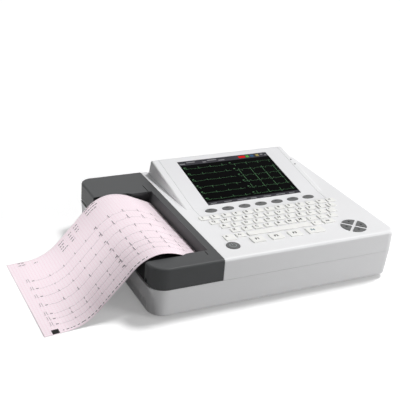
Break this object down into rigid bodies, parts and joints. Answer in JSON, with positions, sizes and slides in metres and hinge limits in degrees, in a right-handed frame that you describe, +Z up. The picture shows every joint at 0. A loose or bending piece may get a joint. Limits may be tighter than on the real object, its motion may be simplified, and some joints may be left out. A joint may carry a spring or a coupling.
{
  "type": "ecg machine",
  "caption": "Desk electrocardiograph with a raised colour display, full keyboard and a hinged thermal recorder feeding a strip of chart paper.",
  "frame": {"origin": "on the surface the feet stand on, 204 mm in from the left wall and midway between front and back", "axes": "+X to the user's right, +Y to the back, +Z up"},
  "size_m": [0.5693, 0.3408, 0.1123],
  "materials": {
    "case_white": "fine textured moulding",
    "cover_dark": "fine textured moulding",
    "key_white": "satin",
    "key_grey": "satin",
    "bezel": "satin",
    "window": "anti-glare",
    "panel": "plain",
    "silicone": "matte",
    "board": "solder mask",
    "battery": "shrink sleeve",
    "steel": "rolled",
    "aluminium": "extruded",
    "ceramic": "glazed",
    "rubber": "ground",
    "black_plastic": "satin",
    "nylon": "moulded",
    "socket": "satin",
    "brass": "plated",
    "light": "clear",
    "paper": "coated",
    "card": "plain"
  },
  "bodies": {
    "case": {"lower_case": "case_white", "upper_case": "case_white", "connector_plate": "case_white", "feet": "rubber", "case_screws": "steel", "display_bezel": "bezel", "screen_window": "window", "lcd_panel": "panel", "keypad_mat": "silicone", "keypad_board": "board", "main_board": "board", "power_supply": "board", "battery_pack": "battery", "battery_door": "case_white", "speaker": "steel", "printer_chassis": "steel", "print_head": "ceramic", "head_heat_sink": "aluminium", "head_springs": "steel", "drive_motor": "steel", "mains_inlet": "black_plastic", "patient_socket": "socket", "usb_sockets": "steel", "network_socket": "steel", "equipotential_pin": "brass", "status_lights": "light", "hinge_pins": "steel", "chart_paper": "paper"},
    "cover": {"recorder_cover": "cover_dark", "cover_deck": "cover_dark", "tear_bar": "steel", "platen_bearings": "nylon"},
    "platen": {"platen_shaft": "steel", "platen_rubber": "rubber", "platen_gear": "nylon"},
    "pinion": {"motor_pinion": "brass"},
    "roll": {"paper_roll": "paper", "roll_core": "card", "roll_spindle": "nylon"},
    "rocker": {"mains_switch": "black_plastic"},
    "power_key": {"power_key": "key_grey"},
    "pad_up_key": {"pad_up_key": "key_grey"},
    "pad_down_key": {"pad_down_key": "key_grey"},
    "pad_left_key": {"pad_left_key": "key_grey"},
    "pad_right_key": {"pad_right_key": "key_grey"},
    "space_bar": {"space_bar": "key_white"},
    "function_keys": {"function_keys": "key_white"},
    "soft_key_1": {"soft_key_1": "key_grey"},
    "soft_key_2": {"soft_key_2": "key_grey"},
    "soft_key_3": {"soft_key_3": "key_grey"},
    "soft_key_4": {"soft_key_4": "key_grey"},
    "soft_key_5": {"soft_key_5": "key_grey"},
    "soft_key_6": {"soft_key_6": "key_grey"},
    "soft_key_7": {"soft_key_7": "key_grey"},
    "letter_row_1": {"letter_row_1": "key_white"},
    "letter_row_2": {"letter_row_2": "key_white"},
    "letter_row_3": {"letter_row_3": "key_white"},
    "letter_row_4": {"letter_row_4": "key_white"},
    "letter_row_5": {"letter_row_5": "key_white"}
  },
  "joints": [
    {"name": "cover_hinge", "type": "hinge", "parent": "case", "child": "cover", "pos_m": [-0.1975, 0, 0.0579], "axis": [0, -1, 0], "range_deg": [0, 80], "deforming": ["chart_paper"]},
    {"name": "platen_spin", "type": "hinge", "parent": "cover", "child": "platen", "pos_m": [-0.106, 0, 0.057], "axis": [0, -1, 0], "continuous": true},
    {"name": "pinion_spin", "type": "hinge", "parent": "case", "child": "pinion", "pos_m": [-0.106, 0, 0.0418], "axis": [0, -1, 0], "continuous": true},
    {"name": "roll_spin", "type": "hinge", "parent": "case", "child": "roll", "pos_m": [-0.158, 0, 0.037], "axis": [0, -1, 0], "continuous": true},
    {"name": "switch_rock", "type": "hinge", "parent": "case", "child": "rocker", "pos_m": [0.1246, 0.15772, 0.0255], "axis": [1, 0, 0], "range_deg": [-7, 7]},
    {"name": "power_key_press", "type": "slide", "parent": "case", "child": "power_key", "axis": [0, 0, -1], "range_m": [0, 0.0012], "stiffness_N_per_m": 600, "springref_m": -0.0008},
    {"name": "pad_up_key_press", "type": "slide", "parent": "case", "child": "pad_up_key", "axis": [0, 0, -1], "range_m": [0, 0.0012], "stiffness_N_per_m": 600, "springref_m": -0.0008},
    {"name": "pad_down_key_press", "type": "slide", "parent": "case", "child": "pad_down_key", "axis": [0, 0, -1], "range_m": [0, 0.0012], "stiffness_N_per_m": 600, "springref_m": -0.0008},
    {"name": "pad_left_key_press", "type": "slide", "parent": "case", "child": "pad_left_key", "axis": [0, 0, -1], "range_m": [0, 0.0012], "stiffness_N_per_m": 600, "springref_m": -0.0008},
    {"name": "pad_right_key_press", "type": "slide", "parent": "case", "child": "pad_right_key", "axis": [0, 0, -1], "range_m": [0, 0.0012], "stiffness_N_per_m": 600, "springref_m": -0.0008},
    {"name": "space_bar_press", "type": "slide", "parent": "case", "child": "space_bar", "axis": [0, 0, -1], "range_m": [0, 0.0012], "stiffness_N_per_m": 600, "springref_m": -0.0008},
    {"name": "function_keys_press", "type": "slide", "parent": "case", "child": "function_keys", "axis": [0, 0, -1], "range_m": [0, 0.0012], "stiffness_N_per_m": 600, "springref_m": -0.0008},
    {"name": "soft_key_1_press", "type": "slide", "parent": "case", "child": "soft_key_1", "axis": [0, 0, -1], "range_m": [0, 0.0012], "stiffness_N_per_m": 600, "springref_m": -0.0008},
    {"name": "soft_key_2_press", "type": "slide", "parent": "case", "child": "soft_key_2", "axis": [0, 0, -1], "range_m": [0, 0.0012], "stiffness_N_per_m": 600, "springref_m": -0.0008},
    {"name": "soft_key_3_press", "type": "slide", "parent": "case", "child": "soft_key_3", "axis": [0, 0, -1], "range_m": [0, 0.0012], "stiffness_N_per_m": 600, "springref_m": -0.0008},
    {"name": "soft_key_4_press", "type": "slide", "parent": "case", "child": "soft_key_4", "axis": [0, 0, -1], "range_m": [0, 0.0012], "stiffness_N_per_m": 600, "springref_m": -0.0008},
    {"name": "soft_key_5_press", "type": "slide", "parent": "case", "child": "soft_key_5", "axis": [0, 0, -1], "range_m": [0, 0.0012], "stiffness_N_per_m": 600, "springref_m": -0.0008},
    {"name": "soft_key_6_press", "type": "slide", "parent": "case", "child": "soft_key_6", "axis": [0, 0, -1], "range_m": [0, 0.0012], "stiffness_N_per_m": 600, "springref_m": -0.0008},
    {"name": "soft_key_7_press", "type": "slide", "parent": "case", "child": "soft_key_7", "axis": [0, 0, -1], "range_m": [0, 0.0012], "stiffness_N_per_m": 600, "springref_m": -0.0008},
    {"name": "letter_row_1_press", "type": "slide", "parent": "case", "child": "letter_row_1", "axis": [0, 0, -1], "range_m": [0, 0.0012], "stiffness_N_per_m": 600, "springref_m": -0.0008},
    {"name": "letter_row_2_press", "type": "slide", "parent": "case", "child": "letter_row_2", "axis": [0, 0, -1], "range_m": [0, 0.0012], "stiffness_N_per_m": 600, "springref_m": -0.0008},
    {"name": "letter_row_3_press", "type": "slide", "parent": "case", "child": "letter_row_3", "axis": [0, 0, -1], "range_m": [0, 0.0012], "stiffness_N_per_m": 600, "springref_m": -0.0008},
    {"name": "letter_row_4_press", "type": "slide", "parent": "case", "child": "letter_row_4", "axis": [0, 0, -1], "range_m": [0, 0.0012], "stiffness_N_per_m": 600, "springref_m": -0.0008},
    {"name": "letter_row_5_press", "type": "slide", "parent": "case", "child": "letter_row_5", "axis": [0, 0, -1], "range_m": [0, 0.0012], "stiffness_N_per_m": 600, "springref_m": -0.0008}
  ],
  "couplings": [
    {"joint": "pinion_spin", "follows": "platen_spin", "ratio": -1.5},
    {"joint": "roll_spin", "follows": "platen_spin", "ratio": 0.326}
  ]
}
